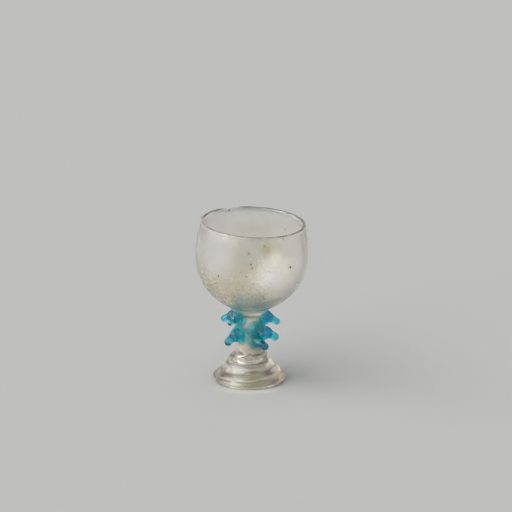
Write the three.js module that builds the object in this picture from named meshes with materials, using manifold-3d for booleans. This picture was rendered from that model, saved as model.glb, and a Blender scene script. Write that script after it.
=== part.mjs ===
// A miniature roemer of blown glass. A goblet bowl leans a little on a hollow stem, two rows of
// blue prunts are drawn out from the stem into drooping tips, and the glass stands on a foot wound
// from one thick thread, whose turns are melted together. Millimetres, +Z up, seen from -Y.
// The origin is under the middle of the whole glass, on the surface that it stands on.
import * as THREE from "three";
import { mergeVertices } from "three/addons/utils/BufferGeometryUtils.js";
import Module from "manifold-3d";

const wasm = await Module();
wasm.setup();

// Clearance between pieces that are melted together on the real glass
const fuseGap = 0.3;

// Bowl: heights are counted from its underside
const bowlRadius = 16.4;
const bowlHeight = 27;
const bowlWidestHeight = 16.5;
const bowlMouthRadius = 15.2;
const bowlWall = 1.2;
const bowlBaseWall = 1.9;
const rimWall = 0.75;
const rimBeadRadius = 0.5;
const bowlFlankPower = 1.08;
const bowlShoulderPower = 2.2;
const bowlLeanRight = THREE.MathUtils.degToRad(2.8);
const bowlLeanForward = THREE.MathUtils.degToRad(1.3);
const bowlSeatShift = 0.1; // to the left of the stem's middle

// Stem: a tube, open at both ends, that flares into the bowl and has a rounded lower end
const stemRadius = 4.3;
const stemWall = 1.2;
const stemLength = 15.3;
const stemSocketDepth = 1.8;
const stemEndFlare = 0.35;
const stemEndFlareHeight = 2.5;
const collarFlare = 2.1;
const collarHeight = 2.8;
const collarPower = 2.6;

// Foot thread: its centre line falls and widens from the stem to the turn that it stands on
const threadTopHeight = 7.7;
const footRadius = 10.7;
const threadThickness = 2.4;
const standingFlatDepth = 0.24;
const threadTurns = 3.44;
const threadStartTurn = -0.25; // of a turn from the front, clockwise seen from above
const threadFallTurns = 2.87;
const threadSettleStart = 2.1;
const threadSettleTurns = 0.6;
const threadSpreadTurns = 2.5;
const threadSpreadPower = 2;
const threadLapShare = 0.66;
const threadLapTurns = 0.3;
const threadRiseShare = 1.4;
const threadStartShare = 0.85;
const threadFullTurn = 0.45;
const threadTailTurns = 0.12;
const threadEndTurns = 0.03;
const threadTipShare = 0.6;

// Prunts: a bead on the stem with a thin margin, drawn out into a tip that droops
const pruntBeadRadius = 1.95;
const pruntMarginWidth = 0.85;
const pruntTipRadius = 1.15;
const pruntLength = 4.4;
const pruntDroopHeight = 1.3;
const pruntBeadShare = 0.1;
const pruntNeckShare = 0.8;
const pruntMarginShare = 0.16;
const pruntHugShare = 0.55;
const pruntRootShare = 0.3;

// Where each prunt sits: its share of a turn round the stem, from the front towards the right, and
// its shares of the seat height, the drawn length, the droop, the bead radius and the tip radius
const pruntShares = [
  ["prunt_upper_left", -0.278, 0.893, 0.68, 0.65, 0.92, 0.9],
  ["prunt_upper_front_left", -0.144, 0.925, 0.62, 0.9, 1.05, 0.68],
  ["prunt_upper_front_right", 0.094, 0.765, 0.6, 0.6, 1.02, 0.85],
  ["prunt_upper_right", 0.244, 0.898, 0.86, 1.05, 1.03, 0.88],
  ["prunt_upper_back_right", 0.392, 0.85, 0.85, 0.9, 1, 0.95],
  ["prunt_upper_back_left", -0.386, 0.87, 0.7, 0.8, 0.98, 1],
  ["prunt_lower_front_left", -0.122, 0.69, 1, 0.95, 1.02, 1],
  ["prunt_lower_front_right", 0.09, 0.6, 0.95, 0.4, 0.85, 1],
  ["prunt_lower_right", 0.258, 0.663, 0.76, 1.05, 0.94, 0.98],
  ["prunt_lower_back_right", 0.406, 0.635, 0.9, 0.8, 0.98, 0.95],
  ["prunt_lower_back_left", -0.403, 0.655, 0.6, 0.9, 1, 1],
];

// Fineness of the facets
const bowlSides = 56;
const bowlFlankSteps = 11;
const bowlShoulderSteps = 5;
const rimSteps = 6;
const stemSides = 40;
const stemSteps = 5;
const threadStepsPerTurn = 28;
const threadSides = 12;
const threadRunTurns = 0.8;
const pruntSides = 12;
const pruntSteps = 6;
const pruntTipSteps = 3;

// Heights that follow from the values above
const stemEndHeight = threadTopHeight - stemSocketDepth;
const bowlSeatHeight = stemEndHeight + stemLength;

const clearGlass = new THREE.MeshStandardMaterial({ color: 0xc4c1b4, roughness: 0.12, metalness: 0 });
const threadGlass = new THREE.MeshStandardMaterial({ color: 0x9f9d8b, roughness: 0.15, metalness: 0 });
const blueGlass = new THREE.MeshStandardMaterial({ color: 0x277f91, roughness: 0.12, metalness: 0 });

// Runs from 0 to 1 along a half wave, and stays there outside its range
function ease(share) {
  const inRange = THREE.MathUtils.clamp(share, 0, 1);
  return (1 - Math.cos(Math.PI * inRange)) / 2;
}

// A closed geometry as a solid that can be joined and cut
function solidFrom(geometry) {
  const bare = new THREE.BufferGeometry();
  bare.setAttribute("position", geometry.getAttribute("position"));
  bare.setIndex(geometry.index);
  const merged = mergeVertices(bare);
  return new wasm.Manifold(
    new wasm.Mesh({
      numProp: 3,
      vertProperties: merged.getAttribute("position").array,
      triVerts: new Uint32Array(merged.index.array),
    }),
  );
}

// The largest body of a solid, because cuts that only graze a face can leave crumbs
function mainBody(solid) {
  return solid.decompose().sort((a, b) => b.volume() - a.volume())[0];
}

// A named mesh from a solid in the glass's own frame, with its pivot at the given placement
function meshFrom(name, solid, material, placement = new THREE.Matrix4()) {
  const { vertProperties, triVerts } = solid.getMesh();
  const geometry = new THREE.BufferGeometry();
  geometry.setAttribute("position", new THREE.BufferAttribute(new Float32Array(vertProperties), 3));
  geometry.setIndex(new THREE.BufferAttribute(new Uint32Array(triVerts), 1));
  geometry.applyMatrix4(placement.clone().invert());
  geometry.computeVertexNormals();
  const mesh = new THREE.Mesh(geometry, material);
  mesh.name = name;
  mesh.applyMatrix4(placement);
  return mesh;
}

// A profile of radius and height turned about Z
function revolve(profile, sides) {
  return new THREE.LatheGeometry(profile, sides).rotateX(Math.PI / 2);
}

// A closed skin over rings of points that all have one count, with a point at each end
function skin(rings) {
  const sides = rings[0].length;
  const points = rings.flat();
  const middleOf = (ring) => {
    const middle = new THREE.Vector3();
    ring.forEach((point) => middle.add(point));
    return middle.divideScalar(ring.length);
  };
  const startPoint = points.length;
  const endPoint = startPoint + 1;
  points.push(middleOf(rings[0]), middleOf(rings.at(-1)));
  const faces = [];
  for (let side = 0; side < sides; side++) {
    const next = (side + 1) % sides;
    faces.push(startPoint, next, side);
    for (let ring = 0; ring < rings.length - 1; ring++) {
      const low = ring * sides;
      const high = low + sides;
      faces.push(low + side, low + next, high + side);
      faces.push(low + next, high + next, high + side);
    }
    const last = (rings.length - 1) * sides;
    faces.push(endPoint, last + side, last + next);
  }
  const geometry = new THREE.BufferGeometry().setFromPoints(points);
  geometry.setIndex(faces);
  return geometry;
}

// The bowl's curve from the axis to below the rim: a lean half oval, then a shoulder that draws in
function bowlCurve({ bottom, radius, mouthRadius, mouthHeight }) {
  const points = [];
  const flankHeight = bowlWidestHeight - bottom;
  for (let step = 0; step <= bowlFlankSteps; step++) {
    const angle = (Math.PI / 2) * (step / bowlFlankSteps);
    const across = radius * Math.sin(angle) ** bowlFlankPower;
    points.push(new THREE.Vector2(across, bottom + flankHeight * (1 - Math.cos(angle))));
  }
  for (let step = 1; step <= bowlShoulderSteps; step++) {
    const share = step / bowlShoulderSteps;
    const across = radius - (radius - mouthRadius) * share ** bowlShoulderPower;
    const height = THREE.MathUtils.lerp(bowlWidestHeight, mouthHeight, share);
    points.push(new THREE.Vector2(across, height));
  }
  return points;
}

// Bowl shell: the outer curve, the fire-polished bead of the rim, and the inner curve back down
function bowlProfile() {
  const beadAngle = Math.acos(rimWall / 2 / rimBeadRadius);
  const beadMiddle = bowlMouthRadius - rimWall / 2;
  const beadHeight = bowlHeight - rimBeadRadius;
  const mouthHeight = beadHeight - rimBeadRadius * Math.sin(beadAngle);
  const outer = bowlCurve({
    bottom: 0,
    radius: bowlRadius,
    mouthRadius: bowlMouthRadius,
    mouthHeight,
  });
  const inner = bowlCurve({
    bottom: bowlBaseWall,
    radius: bowlRadius - bowlWall,
    mouthRadius: bowlMouthRadius - rimWall,
    mouthHeight,
  });
  const bead = [];
  for (let step = 1; step < rimSteps; step++) {
    const angle = THREE.MathUtils.lerp(-beadAngle, Math.PI + beadAngle, step / rimSteps);
    bead.push(
      new THREE.Vector2(
        beadMiddle + rimBeadRadius * Math.cos(angle),
        beadHeight + rimBeadRadius * Math.sin(angle),
      ),
    );
  }
  return [...outer, ...bead, ...inner.reverse()];
}

// The bowl filled and grown by the gap, which cuts whatever is melted onto its underside
function bowlCutter(placement) {
  const curve = bowlCurve({
    bottom: -fuseGap,
    radius: bowlRadius + fuseGap,
    mouthRadius: bowlMouthRadius + fuseGap,
    mouthHeight: bowlHeight,
  });
  const filled = [...curve, new THREE.Vector2(0, bowlHeight)];
  return solidFrom(revolve(filled, bowlSides).applyMatrix4(placement));
}

// The stem's outer curve from its rounded end up to its collar, grown outwards by a margin
function stemCurve(margin) {
  const points = [];
  const straightTop = bowlSeatHeight - collarHeight;
  for (let step = 0; step <= stemSteps; step++) {
    const share = step / stemSteps;
    const across = stemRadius + stemEndFlare * (1 - share) ** 2;
    const height = stemEndHeight + stemWall / 2 + stemEndFlareHeight * share;
    points.push(new THREE.Vector2(across + margin, height));
  }
  for (let step = 0; step <= stemSteps; step++) {
    const share = step / stemSteps;
    const across = stemRadius + collarFlare * share ** collarPower;
    points.push(new THREE.Vector2(across + margin, straightTop + (collarHeight + bowlBaseWall) * share));
  }
  return points;
}

// Stem tube: the outer curve, then the straight bore, with a half round at the lower end
function stemSolid(bowlSpace) {
  const outer = stemCurve(0);
  const boreRadius = stemRadius - stemWall;
  const endRadius = (stemWall + stemEndFlare) / 2;
  const end = [];
  for (let step = 1; step < stemSteps; step++) {
    const angle = Math.PI * (1 + step / stemSteps);
    end.push(
      new THREE.Vector2(
        boreRadius + endRadius + endRadius * Math.cos(angle),
        stemEndHeight + stemWall / 2 + (stemWall / 2) * Math.sin(angle),
      ),
    );
  }
  const bore = [
    new THREE.Vector2(boreRadius, outer.at(-1).y),
    new THREE.Vector2(boreRadius, outer[0].y),
  ];
  const closed = [...outer, ...bore, ...end, outer[0]];
  return solidFrom(revolve(closed, stemSides)).subtract(bowlSpace);
}

// The stem filled and grown by the gap, which cuts what is melted onto its outside
function stemCutter() {
  const curve = stemCurve(fuseGap);
  const bottom = stemEndHeight - fuseGap;
  const filled = [
    new THREE.Vector2(0, bottom),
    new THREE.Vector2(stemRadius, bottom),
    ...curve,
    new THREE.Vector2(0, curve.at(-1).y),
  ];
  return solidFrom(revolve(filled, stemSides));
}

// Middle of the thread after so many turns: x is its distance from the stem's axis, y its height
function threadPath(turn) {
  const baseHeight = threadThickness / 2 - standingFlatDepth;
  const falling = THREE.MathUtils.lerp(threadTopHeight, baseHeight, turn / threadFallTurns);
  const settled = ease((turn - threadSettleStart) / threadSettleTurns);
  const spread = THREE.MathUtils.clamp(turn / threadSpreadTurns, 0, 1) ** threadSpreadPower;
  return new THREE.Vector2(
    THREE.MathUtils.lerp(stemRadius + fuseGap, footRadius - threadThickness / 2, spread),
    THREE.MathUtils.lerp(falling, baseHeight, settled),
  );
}

// The thread's section as three arms from its middle: up to the turn above, down to the turn below,
// and square to these, outwards. Where there is no turn on a side, the section is round there.
function threadSection(turn) {
  const middle = threadPath(turn);
  const toAbove = threadPath(turn - 1).sub(middle);
  const toBelow = threadPath(turn + 1).sub(middle);
  const above = ease((turn - 1) / threadLapTurns + 1 / 2);
  const below = ease((threadTurns - 1 - turn) / threadLapTurns + 1 / 2);
  const half = threadThickness / 2;
  const endUp = toBelow.clone().setLength(-half * threadRiseShare);
  const endDown = toAbove.clone().setLength(-half);
  const up = endUp.lerp(toAbove.multiplyScalar(threadLapShare), above);
  const down = endDown.lerp(toBelow.multiplyScalar(threadLapShare), below);
  const along = down.clone().sub(up);
  const out = new THREE.Vector2(-along.y, along.x).setLength(half);
  const girth = THREE.MathUtils.lerp(threadStartShare, 1, ease(turn / threadFullTurn));
  [up, down, out].forEach((arm) => arm.multiplyScalar(girth));
  return { middle, up, down, out };
}

// Share of the section's size that is left where the thread draws in at its start and its end
function threadRounding(turn) {
  const tail = THREE.MathUtils.clamp(turn / threadTailTurns, 0, 1);
  const end = THREE.MathUtils.clamp((threadTurns - turn) / threadEndTurns, 0, 1);
  const rounding = Math.sqrt((1 - (1 - tail) ** 2) * (1 - (1 - end) ** 2));
  return THREE.MathUtils.lerp(threadTipShare, 1, rounding);
}

// One ring of points round the thread, which runs clockwise seen from above
function threadRing(turn) {
  const { middle, up, down, out } = threadSection(turn);
  const left = threadRounding(turn);
  const round = -2 * Math.PI * (turn + threadStartTurn + 1 / 4);
  const ring = [];
  for (let side = 0; side < threadSides; side++) {
    const angle = (2 * Math.PI * side) / threadSides;
    const arm = Math.cos(angle) > 0 ? down : up;
    const point = middle
      .clone()
      .addScaledVector(arm, Math.abs(Math.cos(angle)) * left)
      .addScaledVector(out, Math.sin(angle) * left);
    ring.push(new THREE.Vector3(point.x * Math.cos(round), point.x * Math.sin(round), point.y));
  }
  return ring;
}

// Foot: the thread is laid in short runs, each starting where the last one ends, and melted into
// one body, seated round the stem and ground flat where it stands
function footSolid(stemSpace) {
  const steps = Math.round(threadTurns * threadStepsPerTurn);
  const runSteps = Math.round(threadRunTurns * threadStepsPerTurn);
  const turnAt = (step) => threadTurns * (step / steps);
  let foot = null;
  for (let first = 0; first < steps; first += runSteps) {
    const last = Math.min(first + runSteps, steps);
    const rings = [];
    for (let step = first; step <= last; step++) rings.push(threadRing(turnAt(step)));
    const run = solidFrom(skin(rings));
    foot = foot ? foot.add(run) : run;
  }
  const across = 4 * footRadius;
  const ground = new THREE.BoxGeometry(across, across, threadThickness);
  ground.translate(0, 0, -threadThickness / 2);
  return mainBody(foot.subtract(solidFrom(ground)).subtract(stemSpace));
}

// Position and heading of a prunt: x points out from the stem, z stays up
function pruntPlacement([, turnShare, heightShare]) {
  const turn = 2 * Math.PI * turnShare - Math.PI / 2;
  const placement = new THREE.Matrix4().makeRotationZ(turn);
  return placement.multiply(
    new THREE.Matrix4().makeTranslation(stemRadius, 0, bowlSeatHeight * heightShare),
  );
}

// Prunt blank: rings along a drooping line from inside the stem's wall to the end of a round tip
function pruntBlank([, , , lengthShare, droopShare, beadShare, tipShare], margin = 0) {
  const tipRadius = pruntTipRadius * tipShare;
  const beadRadius = pruntBeadRadius * beadShare;
  const length = pruntLength * lengthShare;
  const droop = pruntDroopHeight * droopShare;
  const ringAt = (share, scale, beyond) => {
    const outside = Math.max(share, 0);
    const slope = Math.atan2(2 * droop * outside, length);
    const drawn = ease((outside - pruntBeadShare) / (pruntNeckShare - pruntBeadShare));
    const taper = (beadRadius - tipRadius) * (1 - drawn);
    const thin = pruntMarginWidth * Math.max(0, 1 - outside / pruntMarginShare) ** 2;
    const radius = (tipRadius + taper + thin) * scale + margin;
    const middle = new THREE.Vector3(
      length * share + beyond * Math.cos(slope),
      0,
      -droop * outside ** 2 - beyond * Math.sin(slope),
    );
    const hug = 1 - ease(outside / pruntHugShare);
    const ring = [];
    for (let side = 0; side < pruntSides; side++) {
      const angle = (2 * Math.PI * side) / pruntSides;
      const up = radius * Math.cos(angle);
      const right = -radius * Math.sin(angle);
      const sag = stemRadius - Math.sqrt(stemRadius ** 2 - right ** 2);
      const out = up * Math.sin(slope) - sag * hug;
      const point = new THREE.Vector3(out, right, up * Math.cos(slope));
      ring.push(point.add(middle));
    }
    return ring;
  };
  const rings = [ringAt(-pruntRootShare, 1, 0)];
  for (let step = 0; step <= pruntSteps; step++) {
    const share = step / pruntSteps;
    if (step === 1) rings.push(ringAt(pruntMarginShare / 2, 1, 0));
    rings.push(ringAt(share, 1, 0));
  }
  for (let step = 1; step <= pruntTipSteps; step++) {
    const angle = (Math.PI / 2) * (step / (pruntTipSteps + 1));
    rings.push(ringAt(1, Math.cos(angle), (tipRadius + margin) * Math.sin(angle)));
  }
  return skin(rings);
}

// Prunts in the order in which they were laid on: each is cut by the stem, the bowl and the
// prunts before it
function pruntMeshes(space) {
  const meshes = [];
  let taken = space;
  for (const shares of pruntShares) {
    const placement = pruntPlacement(shares);
    const blank = solidFrom(pruntBlank(shares).applyMatrix4(placement));
    meshes.push(meshFrom(shares[0], mainBody(blank.subtract(taken)), blueGlass, placement));
    taken = taken.add(solidFrom(pruntBlank(shares, fuseGap).applyMatrix4(placement)));
  }
  return meshes;
}

const bowlPlacement = new THREE.Matrix4()
  .makeRotationFromEuler(new THREE.Euler(bowlLeanForward, bowlLeanRight, 0))
  .setPosition(-bowlSeatShift, 0, bowlSeatHeight);
const bowlSpace = bowlCutter(bowlPlacement);
const stemSpace = stemCutter();

const glass = new THREE.Group();
glass.add(
  meshFrom(
    "bowl",
    solidFrom(revolve(bowlProfile(), bowlSides).applyMatrix4(bowlPlacement)),
    clearGlass,
    bowlPlacement,
  ),
  meshFrom("stem", stemSolid(bowlSpace), clearGlass),
  meshFrom("foot_thread", footSolid(stemSpace), threadGlass),
  ...pruntMeshes(stemSpace.add(bowlSpace)),
);

// The leaning bowl sets the footprint, so its middle comes over the origin
const footprint = new THREE.Box3().setFromObject(glass, true);
const middle = footprint.getCenter(new THREE.Vector3());
glass.position.set(-middle.x, -middle.y, 0);

const roemer = new THREE.Group();
roemer.name = "roemer";
roemer.add(glass);

export default roemer;
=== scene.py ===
"""A miniature roemer of blown glass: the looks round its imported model.

Shapes are worked out in millimetres, in the part's own frame, and become metres when a mesh is made.
"""
import math

import bpy
import numpy as np
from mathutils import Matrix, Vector


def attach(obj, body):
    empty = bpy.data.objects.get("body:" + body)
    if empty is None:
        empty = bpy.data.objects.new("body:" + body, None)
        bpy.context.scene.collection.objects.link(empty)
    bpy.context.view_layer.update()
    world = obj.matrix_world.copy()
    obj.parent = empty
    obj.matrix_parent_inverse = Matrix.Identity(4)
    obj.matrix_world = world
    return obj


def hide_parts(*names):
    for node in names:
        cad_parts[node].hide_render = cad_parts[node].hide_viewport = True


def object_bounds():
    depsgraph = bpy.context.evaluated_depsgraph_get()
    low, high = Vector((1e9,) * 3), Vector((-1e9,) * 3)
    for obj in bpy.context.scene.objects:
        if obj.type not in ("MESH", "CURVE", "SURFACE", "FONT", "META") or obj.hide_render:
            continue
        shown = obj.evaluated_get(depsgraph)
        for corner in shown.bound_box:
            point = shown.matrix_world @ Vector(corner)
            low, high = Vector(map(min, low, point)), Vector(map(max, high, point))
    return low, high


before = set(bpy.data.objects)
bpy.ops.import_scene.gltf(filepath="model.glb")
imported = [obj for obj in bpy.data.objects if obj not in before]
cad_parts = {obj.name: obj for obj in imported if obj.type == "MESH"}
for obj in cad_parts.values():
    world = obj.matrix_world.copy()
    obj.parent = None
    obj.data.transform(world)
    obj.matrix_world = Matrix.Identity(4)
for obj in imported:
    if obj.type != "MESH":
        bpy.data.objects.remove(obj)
cad_low, cad_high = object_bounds()

MM = 0.001
CLEAR = 0.02  # the least that the glass stands clear of the floor's plane
WELD = 0.1  # how far one glass reaches into another that it is melted onto

# Axis of the stem and the foot, in the part's frame
AXIS_X = -0.736
AXIS_Y = 0.378

# Bowl: heights are counted from its underside
BOWL_SEAT = 21.2
SEAT = np.array([0, 0, BOWL_SEAT])
BOWL_RADIUS = 16.38
BOWL_HEIGHT = 27.0
BOWL_WIDEST_HEIGHT = 16.5
BOWL_MOUTH_RADIUS = 15.2
BOWL_WALL = 1.2
BOWL_BASE_WALL = 1.9
RIM_WALL = 0.75
RIM_BEAD_RADIUS = 0.5
BOWL_FLANK_POWER = 1.08
BOWL_SHOULDER_POWER = 2.2
BOWL_LEAN_RIGHT = math.radians(2.8)
BOWL_LEAN_FORWARD = math.radians(1.3)
BOWL_SEAT_SHIFT = 0.1
FLANK_POINTS = 160
SHOULDER_POINTS = 60

# Chip in the rim, behind on the left
CHIP_TURN = math.radians(117)
CHIP_HALF_TURN = math.radians(9)
CHIP_DEPTH = 0.45
CHIP_FOOT, CHIP_RISE = 1.6, 1.4  # how far under the rim it sets in, and over which it grows

# Slow waves: how many in a turn, phase, millimetres of height per radian, and share
INNER_WALL_WAVES = ((2, 0.8, 9, 1), (3, 0, -6, 0.6), (7, 0, 2.5, 0.35))
OUTER_WALL_WAVES = ((2, 2.1, -8, 0.5), (5, 1, 4, 0.35))
CHIP_NICKS = ((31, 0, 1, 0.35), (67, 0, 1, 0.2))
CRUST_EDGE_WAVES = ((2, 0.7, 1, 0.5), (5, 2, 1, 0.3), (11, 0, 1, 0.2))
WALL_WAVE = 0.0012  # share of the radius that a wave of share 1 takes off it
WAVE_START, WAVE_GROWTH = 3, 6  # distances from the axis over which they set in
WAVE_END, WAVE_FADE = 22, 4  # heights up the bowl over which they fade out

# Section of bowl and stem: spacing of its first points and of its rings, and the corners' rounding
SECTION_SPACING = 0.04
RING_SPACING = 0.5
RIM_RING_SPACING = 0.11
RIM_RING_REACH = 0.9
CORNER_SPREAD = 0.12

# Fillet between the stem and the bowl
FILLET_SPREAD = 1.1
FILLET_RADIUS = 5.6
FILLET_HEIGHT = 21.6
FILLET_REACH = 2
FILLET_FADE = 2.2
LEAN_START, LEAN_RISE = 18.5, 3  # height at which the lean sets in, and over which it grows

# Specks: their height, and for each ring its share of the size and its share of the height
SPECK_HEIGHT = 0.11
SPECK_RINGS = ((0.9, -0.3), (1.0, 0.05), (0.75, 0.25), (0.35, 0.36))
SPECK_ENDS = (-0.3, 0.38)
SPECK_SIDES = 9
SPECK_LEAST, SPECK_MORE = 0.05, 0.14
SPECK_SPREAD_UP = 0.62  # spread up the wall as a share of the spread round it
SPECK_SEED = 4

# Stem
STEM_RADIUS = 4.3
STEM_WALL = 1.2
STEM_END = 5.9
STEM_END_FLARE = 0.35
STEM_END_FLARE_HEIGHT = 2.5
COLLAR_FLARE = 2.1
COLLAR_HEIGHT = 2.8
COLLAR_POWER = 2.6
BORE_DOME_FOOT = 16.8
BORE_DOME_TOP = 20.6
CRUST_EDGE = 8.9
CRUST_DEPTH = 0.12

# Foot thread: turns are counted from its start, which is at the right of the stem
THREAD_TOP = 7.7
FOOT_RADIUS = 10.7
THREAD_THICKNESS = 2.4
THREAD_BASE = 0.96
THREAD_TURNS = 3.44
THREAD_START_GAP = 0.3
THREAD_SPREAD_TURNS = 2.5
THREAD_FALL_TURNS = 2.87
THREAD_SETTLE_START = 2.1
THREAD_SETTLE_TURNS = 0.6
THREAD_MEET_TURNS = 0.3  # over which the section comes to reach for a turn above or below
THREAD_OVERLAP = 0.66  # how far it reaches towards that turn
THREAD_DRAWN_UP = 1.4  # how far it reaches up with no turn above, in half thicknesses
THREAD_TAIL_TURNS = 0.12
THREAD_END_TURNS = 0.03
THREAD_TIP_GIRTH = 0.6
THREAD_START_GIRTH = 0.85
THREAD_START_TURNS = 0.45
THREAD_HUG_HEIGHT = 5.2
THREAD_HUG_RISE = 0.7
FOOT_GRAIN = 0.13  # size of the cells in which the melted foot is cast
FOOT_PASSES = 4

# Prunts
PRUNT_BEAD_RADIUS = 2.2
PRUNT_MARGIN = 0.7
PRUNT_PAD_HEIGHT = 0.3
PRUNT_TIP_RADIUS = 1.15
PRUNT_LENGTH = 4.4
PRUNT_DROOP = 1.3
# Rings of a prunt's base, as shares of its radius, and of its edge, as shares of how far it sinks in
PRUNT_BASE_SHARES = np.r_[np.linspace(0.06, 0.94, 10), 0.985, 1.0]
PRUNT_EDGE_SHARES = np.array([0.85, 0.4])
# Where along a prunt its bead starts to narrow, over what share, and how far it hugs the stem
PRUNT_NECK_START = 0.16
PRUNT_NECK_SHARE = 0.62
PRUNT_HUG_SHARE = 0.55

# How finely the pieces are cut
GLASS_SIDES = 256
CRUST_SIDES = 96
THREAD_STEPS = 900
THREAD_SIDES = 48
PRUNT_STEPS = 14
PRUNT_SIDES = 48

# Turns round the stem from the front towards the right, then shares of the seat height, the drawn
# length, the droop, the bead radius and the tip radius
PRUNT_SHARES = {
    "prunt_upper_left": (-0.278, 0.893, 0.68, 0.65, 0.92, 0.9),
    "prunt_upper_front_left": (-0.144, 0.925, 0.62, 0.9, 1.05, 0.68),
    "prunt_upper_front_right": (0.094, 0.765, 0.6, 0.6, 1.02, 0.85),
    "prunt_upper_right": (0.244, 0.898, 0.86, 1.05, 1.03, 0.88),
    "prunt_upper_back_right": (0.392, 0.85, 0.85, 0.9, 1, 0.95),
    "prunt_upper_back_left": (-0.386, 0.87, 0.7, 0.8, 0.98, 1),
    "prunt_lower_front_left": (-0.122, 0.69, 1, 0.95, 1.02, 1),
    "prunt_lower_front_right": (0.09, 0.6, 0.95, 0.4, 0.85, 1),
    "prunt_lower_right": (0.258, 0.663, 0.76, 1.05, 0.94, 0.98),
    "prunt_lower_back_right": (0.406, 0.635, 0.9, 0.8, 0.98, 0.95),
    "prunt_lower_back_left": (-0.403, 0.655, 0.6, 0.9, 1, 1),
}


def ease(share):
    """Half a cosine wave: 0 below 0, 1 above 1, and smooth between them."""
    return (1 - np.cos(np.pi * np.clip(share, 0, 1))) / 2


def mix(a, b, share):
    """a at share 0 and b at share 1, in a straight line."""
    return a + (b - a) * share


def waves(table, turn, up=0):
    """The sum of a table's slow waves at a turn and a height."""
    return sum(share * np.sin(count * turn + phase + up / run)
               for count, phase, run, share in table)


# Meshes


def skin_faces(rings, sides):
    """Quads between each ring and the next, all the way round, and a fan to a point at each end."""
    ring, side = np.meshgrid(np.arange(rings - 1) * sides, np.arange(sides), indexing="ij")
    after = (side + 1) % sides
    quads = np.stack([ring + side, ring + after, ring + sides + after, ring + sides + side], -1)
    side = np.arange(sides)
    after = (side + 1) % sides
    first_middle = np.full(sides, rings * sides)
    last = (rings - 1) * sides
    first_fan = np.stack([first_middle, after, side], -1)
    last_fan = np.stack([first_middle + 1, last + side, last + after], -1)
    return quads.reshape(-1, 4).tolist() + np.concatenate([first_fan, last_fan]).tolist()


def skin_mesh(name, rings):
    """A closed mesh in millimetres over an array of rings, shaped (rings, points, 3)."""
    count, sides = rings.shape[:2]
    middles = np.stack([rings[0].mean(0), rings[-1].mean(0)])
    mesh = bpy.data.meshes.new(name)
    points = np.concatenate([rings.reshape(-1, 3), middles])
    mesh.from_pydata(points.tolist(), [], skin_faces(count, sides))
    mesh.shade_smooth()
    return mesh


def in_metres(mesh):
    """The same mesh with each coordinate turned from millimetres to metres."""
    points = np.empty(len(mesh.vertices) * 3)
    mesh.vertices.foreach_get("co", points)
    mesh.vertices.foreach_set("co", points * MM)
    mesh.update()
    return mesh


def new_object(name, data):
    """An object of that mesh or camera, in the scene."""
    made = bpy.data.objects.new(name, data)
    bpy.context.scene.collection.objects.link(made)
    return made


def new_piece(mesh, material, slot, *nodes):
    """Puts a mesh into the scene as a piece that rides on the glass and stands for its CAD nodes."""
    piece = new_object(mesh.name, mesh)
    mesh.materials.append(material)
    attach(piece, "root")
    if nodes:
        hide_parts(*nodes)


# Bowl and stem


def bowl_curve(bottom, radius, mouth_radius, mouth_height):
    """Radius and height of the bowl's curve: a quarter of a lean oval, then a shoulder that draws in
    as a power of the height above the widest place."""
    angle = np.linspace(0, math.pi / 2, FLANK_POINTS)
    flank = np.stack([
        radius * np.sin(angle) ** BOWL_FLANK_POWER,
        bottom + (BOWL_WIDEST_HEIGHT - bottom) * (1 - np.cos(angle)),
    ], -1)
    share = np.linspace(0, 1, SHOULDER_POINTS)[1:]
    shoulder = np.stack([
        radius - (radius - mouth_radius) * share ** BOWL_SHOULDER_POWER,
        mix(BOWL_WIDEST_HEIGHT, mouth_height, share),
    ], -1)
    return np.concatenate([flank, shoulder])


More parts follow.
